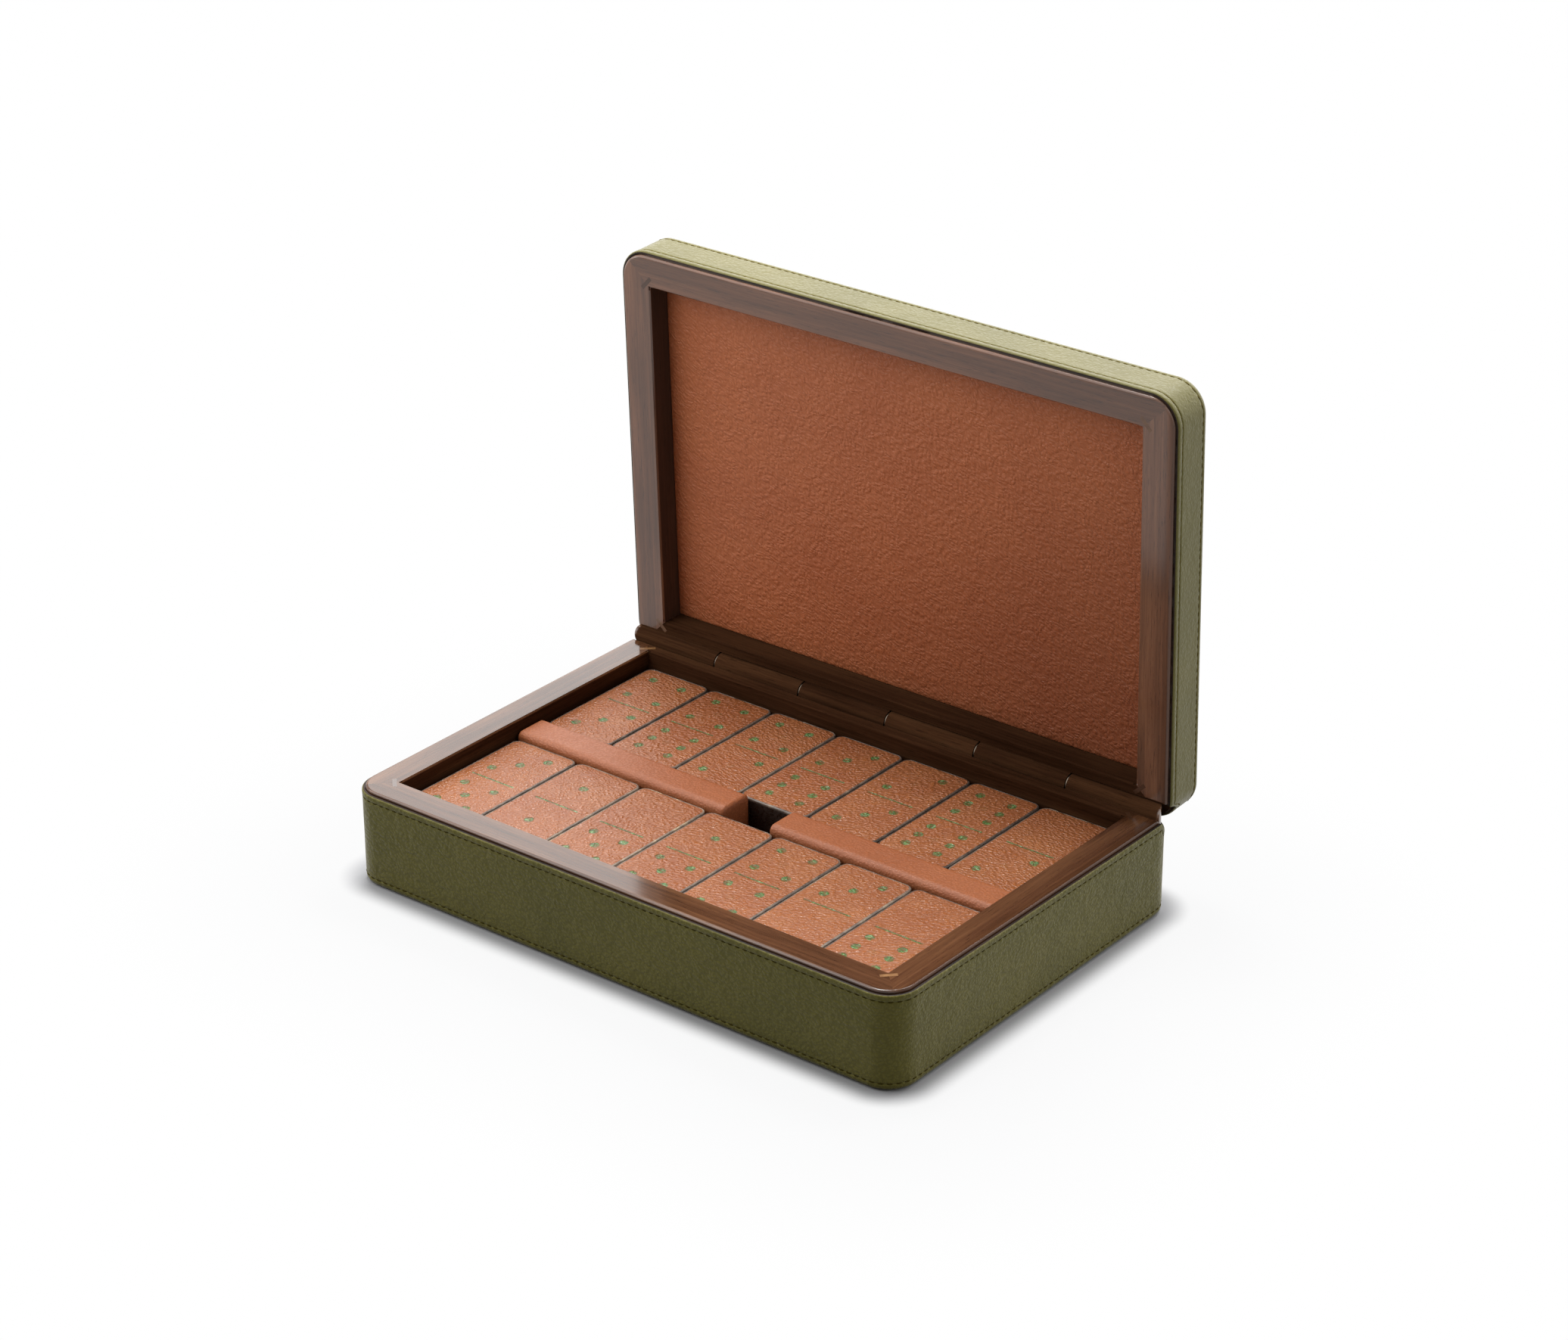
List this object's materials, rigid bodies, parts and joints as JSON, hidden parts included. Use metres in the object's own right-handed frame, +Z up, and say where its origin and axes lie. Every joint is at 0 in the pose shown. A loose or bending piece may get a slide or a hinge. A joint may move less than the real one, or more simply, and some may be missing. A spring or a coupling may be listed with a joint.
{
  "type": "domino storage box",
  "caption": "Leather-covered wooden case with an open knuckle-hinged lid, holding a full set of leather dominoes in rows beside a divider.",
  "frame": {"origin": "centre of the base's bottom face, under the middle of its wooden frame", "axes": "+X along the hinge to the right, +Y from the front to the hinge, +Z up from the table"},
  "size_m": [0.2034, 0.1486, 0.1643],
  "materials": {
    "walnut": "satin",
    "dark_wood": "satin",
    "maple": "satin",
    "olive_leather": "grained",
    "lining_leather": "grained",
    "divider_leather": "smooth",
    "tile_leather": "pebbled",
    "steel": "polished"
  },
  "bodies": {
    "base": {"base_front_rail": "walnut", "base_rear_rail": "walnut", "base_left_rail": "walnut", "base_right_rail": "walnut", "base_corner_splines": "maple", "base_bottom_board": "dark_wood", "base_lining": "lining_leather", "base_side_leather": "olive_leather", "base_bottom_leather": "olive_leather", "divider_left_core": "dark_wood", "divider_left_wrap": "divider_leather", "divider_right_core": "dark_wood", "divider_right_wrap": "divider_leather", "hinge_pin": "steel", "hinge_washers": "steel"},
    "lid": {"lid_front_rail": "walnut", "lid_rear_rail": "walnut", "lid_left_rail": "walnut", "lid_right_rail": "walnut", "lid_corner_splines": "maple", "lid_top_board": "dark_wood", "lid_lining": "lining_leather", "lid_side_leather": "olive_leather", "lid_top_leather": "olive_leather"},
    "tile_3_4": {"tile_3_4": "tile_leather"},
    "tile_4_6": {"tile_4_6": "tile_leather"},
    "tile_2_4": {"tile_2_4": "tile_leather"},
    "tile_3_6": {"tile_3_6": "tile_leather"},
    "tile_2_3": {"tile_2_3": "tile_leather"},
    "tile_6_6": {"tile_6_6": "tile_leather"},
    "tile_0_2": {"tile_0_2": "tile_leather"},
    "tile_3_5": {"tile_3_5": "tile_leather"},
    "tile_1_1": {"tile_1_1": "tile_leather"},
    "tile_0_5": {"tile_0_5": "tile_leather"},
    "tile_1_5": {"tile_1_5": "tile_leather"},
    "tile_4_4": {"tile_4_4": "tile_leather"},
    "tile_0_3": {"tile_0_3": "tile_leather"},
    "tile_0_6": {"tile_0_6": "tile_leather"},
    "tile_0_0": {"tile_0_0": "tile_leather"},
    "tile_0_1": {"tile_0_1": "tile_leather"},
    "tile_0_4": {"tile_0_4": "tile_leather"},
    "tile_1_2": {"tile_1_2": "tile_leather"},
    "tile_1_3": {"tile_1_3": "tile_leather"},
    "tile_1_4": {"tile_1_4": "tile_leather"},
    "tile_1_6": {"tile_1_6": "tile_leather"},
    "tile_2_2": {"tile_2_2": "tile_leather"},
    "tile_2_5": {"tile_2_5": "tile_leather"},
    "tile_2_6": {"tile_2_6": "tile_leather"},
    "tile_3_3": {"tile_3_3": "tile_leather"},
    "tile_4_5": {"tile_4_5": "tile_leather"},
    "tile_5_5": {"tile_5_5": "tile_leather"},
    "tile_5_6": {"tile_5_6": "tile_leather"}
  },
  "joints": [
    {"name": "lid_hinge", "type": "hinge", "parent": "base", "child": "lid", "pos_m": [0, 0.064, 0.0312], "axis": [-1, 0, 0], "range_deg": [-88, 0]},
    {"name": "lift_3_4", "type": "slide", "parent": "base", "child": "tile_3_4", "axis": [0, 0, 1], "range_m": [0, 0.052]},
    {"name": "lift_4_6", "type": "slide", "parent": "base", "child": "tile_4_6", "axis": [0, 0, 1], "range_m": [0, 0.052]},
    {"name": "lift_2_4", "type": "slide", "parent": "base", "child": "tile_2_4", "axis": [0, 0, 1], "range_m": [0, 0.052]},
    {"name": "lift_3_6", "type": "slide", "parent": "base", "child": "tile_3_6", "axis": [0, 0, 1], "range_m": [0, 0.052]},
    {"name": "lift_2_3", "type": "slide", "parent": "base", "child": "tile_2_3", "axis": [0, 0, 1], "range_m": [0, 0.052]},
    {"name": "lift_6_6", "type": "slide", "parent": "base", "child": "tile_6_6", "axis": [0, 0, 1], "range_m": [0, 0.052]},
    {"name": "lift_0_2", "type": "slide", "parent": "base", "child": "tile_0_2", "axis": [0, 0, 1], "range_m": [0, 0.052]},
    {"name": "lift_3_5", "type": "slide", "parent": "base", "child": "tile_3_5", "axis": [0, 0, 1], "range_m": [0, 0.052]},
    {"name": "lift_1_1", "type": "slide", "parent": "base", "child": "tile_1_1", "axis": [0, 0, 1], "range_m": [0, 0.052]},
    {"name": "lift_0_5", "type": "slide", "parent": "base", "child": "tile_0_5", "axis": [0, 0, 1], "range_m": [0, 0.052]},
    {"name": "lift_1_5", "type": "slide", "parent": "base", "child": "tile_1_5", "axis": [0, 0, 1], "range_m": [0, 0.052]},
    {"name": "lift_4_4", "type": "slide", "parent": "base", "child": "tile_4_4", "axis": [0, 0, 1], "range_m": [0, 0.052]},
    {"name": "lift_0_3", "type": "slide", "parent": "base", "child": "tile_0_3", "axis": [0, 0, 1], "range_m": [0, 0.052]},
    {"name": "lift_0_6", "type": "slide", "parent": "base", "child": "tile_0_6", "axis": [0, 0, 1], "range_m": [0, 0.052]},
    {"name": "lift_0_0", "type": "slide", "parent": "base", "child": "tile_0_0", "axis": [0, 0, 1], "range_m": [0, 0.026]},
    {"name": "lift_0_1", "type": "slide", "parent": "base", "child": "tile_0_1", "axis": [0, 0, 1], "range_m": [0, 0.026]},
    {"name": "lift_0_4", "type": "slide", "parent": "base", "child": "tile_0_4", "axis": [0, 0, 1], "range_m": [0, 0.026]},
    {"name": "lift_1_2", "type": "slide", "parent": "base", "child": "tile_1_2", "axis": [0, 0, 1], "range_m": [0, 0.026]},
    {"name": "lift_1_3", "type": "slide", "parent": "base", "child": "tile_1_3", "axis": [0, 0, 1], "range_m": [0, 0.026]},
    {"name": "lift_1_4", "type": "slide", "parent": "base", "child": "tile_1_4", "axis": [0, 0, 1], "range_m": [0, 0.026]},
    {"name": "lift_1_6", "type": "slide", "parent": "base", "child": "tile_1_6", "axis": [0, 0, 1], "range_m": [0, 0.026]},
    {"name": "lift_2_2", "type": "slide", "parent": "base", "child": "tile_2_2", "axis": [0, 0, 1], "range_m": [0, 0.026]},
    {"name": "lift_2_5", "type": "slide", "parent": "base", "child": "tile_2_5", "axis": [0, 0, 1], "range_m": [0, 0.026]},
    {"name": "lift_2_6", "type": "slide", "parent": "base", "child": "tile_2_6", "axis": [0, 0, 1], "range_m": [0, 0.026]},
    {"name": "lift_3_3", "type": "slide", "parent": "base", "child": "tile_3_3", "axis": [0, 0, 1], "range_m": [0, 0.026]},
    {"name": "lift_4_5", "type": "slide", "parent": "base", "child": "tile_4_5", "axis": [0, 0, 1], "range_m": [0, 0.026]},
    {"name": "lift_5_5", "type": "slide", "parent": "base", "child": "tile_5_5", "axis": [0, 0, 1], "range_m": [0, 0.026]},
    {"name": "lift_5_6", "type": "slide", "parent": "base", "child": "tile_5_6", "axis": [0, 0, 1], "range_m": [0, 0.026]}
  ],
  "couplings": [
    {"joint": "lift_0_0", "follows": "lift_3_4", "ratio": 0.5},
    {"joint": "lift_0_1", "follows": "lift_4_6", "ratio": 0.5},
    {"joint": "lift_0_4", "follows": "lift_2_4", "ratio": 0.5},
    {"joint": "lift_1_2", "follows": "lift_3_6", "ratio": 0.5},
    {"joint": "lift_1_3", "follows": "lift_2_3", "ratio": 0.5},
    {"joint": "lift_1_4", "follows": "lift_6_6", "ratio": 0.5},
    {"joint": "lift_1_6", "follows": "lift_0_2", "ratio": 0.5},
    {"joint": "lift_2_2", "follows": "lift_3_5", "ratio": 0.5},
    {"joint": "lift_2_5", "follows": "lift_1_1", "ratio": 0.5},
    {"joint": "lift_2_6", "follows": "lift_0_5", "ratio": 0.5},
    {"joint": "lift_3_3", "follows": "lift_1_5", "ratio": 0.5},
    {"joint": "lift_4_5", "follows": "lift_4_4", "ratio": 0.5},
    {"joint": "lift_5_5", "follows": "lift_0_3", "ratio": 0.5},
    {"joint": "lift_5_6", "follows": "lift_0_6", "ratio": 0.5}
  ]
}
